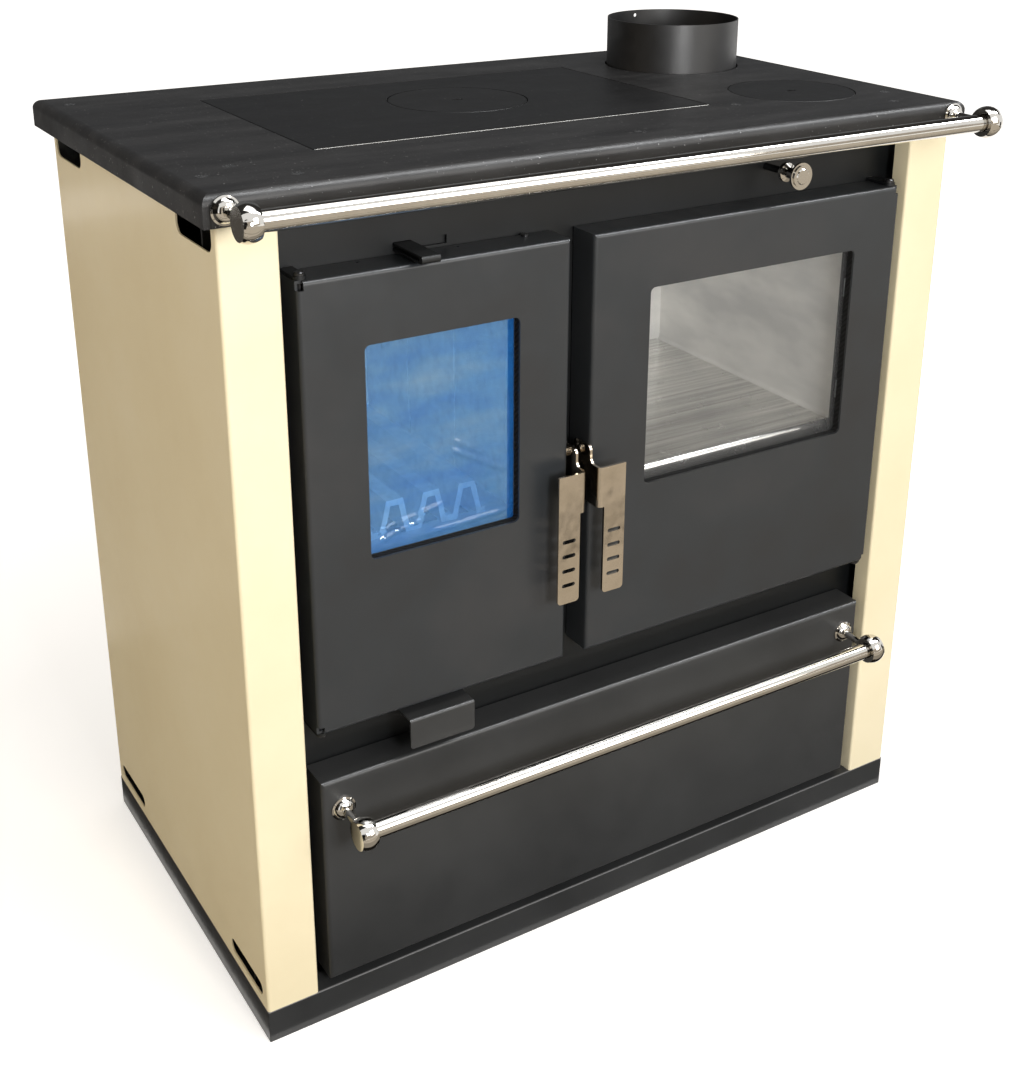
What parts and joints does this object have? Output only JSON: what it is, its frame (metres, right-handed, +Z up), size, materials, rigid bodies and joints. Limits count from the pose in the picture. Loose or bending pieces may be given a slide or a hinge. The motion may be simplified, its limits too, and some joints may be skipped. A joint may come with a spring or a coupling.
{
  "type": "wood cookstove",
  "caption": "Freestanding wood-burning kitchen stove with glazed fire and oven doors, hob plate with lift-out covers, flue collar, towel rails and a wood drawer below",
  "frame": {"origin": "middle of the plinth's underside, on the floor", "axes": "X runs to the right seen from the front, Y from the front to the back, Z up"},
  "size_m": [0.838, 0.5483, 0.9045],
  "materials": {
    "cream_paint": "cream stove enamel, semi-gloss",
    "black_paint": "black heat-proof stove paint, satin",
    "hob_black": "black heat-proof stove paint on the hob plates, dull",
    "cast_iron": "bare grey cast iron",
    "dark_steel": "mild steel with a dark primer",
    "oven_grey": "stainless sheet, smooth",
    "bright_steel": "stainless or zinc-plated sheet",
    "zinc": "zinc-plated steel",
    "chrome": "bright chrome plate",
    "nickel": "satin nickel plate",
    "firebrick": "pressed vermiculite or fireclay brick, dull",
    "glass_rope": "braided glass-fibre rope and tape, graphite grey",
    "pane": "clear ceramic glass",
    "blue_film": "clear blue protective film"
  },
  "bodies": {
    "stove": {"plinth": "black_paint", "left_side_panel": "cream_paint", "right_side_panel": "cream_paint", "rear_panel": "black_paint", "rear_screws": "zinc", "drawer_bay": "black_paint", "front_plate": "black_paint", "inner_casing": "dark_steel", "hob_plate": "hob_black", "hob_screws": "hob_black", "flue_collar": "hob_black", "firebricks": "firebrick", "firebox_floor": "cast_iron", "grate": "cast_iron", "ash_pan": "dark_steel", "oven_box": "oven_grey", "oven_floor_plate": "bright_steel", "smoke_baffles": "dark_steel", "soot_hatch": "dark_steel", "soot_hatch_screws": "zinc", "air_duct": "black_paint", "hinge_lugs": "black_paint", "hinge_pins": "black_paint", "door_catch": "black_paint", "badge_plate": "black_paint", "drawer_runners": "bright_steel", "top_rail_tube": "chrome", "top_rail_ends": "chrome", "top_rail_posts": "chrome"},
    "fire_door": {"fire_door_shell": "black_paint", "fire_door_liner": "black_paint", "fire_door_rope": "glass_rope", "fire_door_screws": "black_paint", "fire_glass": "pane", "fire_glass_gasket": "glass_rope", "fire_glass_clips": "zinc", "fire_handle_pivot": "zinc", "fire_glass_film": "blue_film"},
    "oven_door": {"oven_door_shell": "black_paint", "oven_door_liner": "black_paint", "oven_door_rope": "glass_rope", "oven_door_screws": "black_paint", "oven_glass": "pane", "oven_glass_gasket": "glass_rope", "oven_glass_clips": "zinc", "oven_handle_pivot": "zinc"},
    "fire_door_handle": {"fire_handle": "nickel"},
    "oven_door_handle": {"oven_handle": "nickel"},
    "drawer": {"drawer_front": "black_paint", "drawer_box": "bright_steel", "drawer_slides": "bright_steel", "drawer_rail_tube": "chrome", "drawer_rail_ends": "chrome", "drawer_rail_posts": "chrome"},
    "damper": {"damper_plate": "black_paint", "damper_knob": "chrome"},
    "air_control": {"air_slider": "black_paint"},
    "insert": {"insert_plate": "hob_black"},
    "insert_cover": {"insert_lid": "hob_black"},
    "hob_cover": {"hob_lid": "hob_black"}
  },
  "joints": [
    {"name": "fire_door_hinge", "type": "hinge", "parent": "stove", "child": "fire_door", "pos_m": [-0.3335, -0.217, 0.547], "axis": [0, 0, 1], "range_deg": [-115, 0]},
    {"name": "oven_door_hinge", "type": "hinge", "parent": "stove", "child": "oven_door", "pos_m": [0.3375, -0.217, 0.547], "axis": [0, 0, 1], "range_deg": [0, 115]},
    {"name": "fire_handle_turn", "type": "hinge", "parent": "fire_door", "child": "fire_door_handle", "pos_m": [-0.06425, -0.219, 0.552], "axis": [1, 0, 0], "range_deg": [-25, 0]},
    {"name": "oven_handle_turn", "type": "hinge", "parent": "oven_door", "child": "oven_door_handle", "pos_m": [-0.04775, -0.219, 0.552], "axis": [1, 0, 0], "range_deg": [-25, 0]},
    {"name": "drawer_slide", "type": "slide", "parent": "stove", "child": "drawer", "axis": [0, -1, 0], "range_m": [0, 0.3]},
    {"name": "damper_pull", "type": "slide", "parent": "stove", "child": "damper", "axis": [0, -1, 0], "range_m": [0, 0.08]},
    {"name": "air_slide", "type": "slide", "parent": "stove", "child": "air_control", "axis": [1, 0, 0], "range_m": [0, 0.035]},
    {"name": "insert_lift", "type": "slide", "parent": "stove", "child": "insert", "axis": [0, 0, 1], "range_m": [0, 0.12]},
    {"name": "insert_lid_lift", "type": "slide", "parent": "insert", "child": "insert_cover", "axis": [0, 0, 1], "range_m": [0, 0.08]},
    {"name": "hob_lid_lift", "type": "slide", "parent": "stove", "child": "hob_cover", "axis": [0, 0, 1], "range_m": [0, 0.12]}
  ]
}
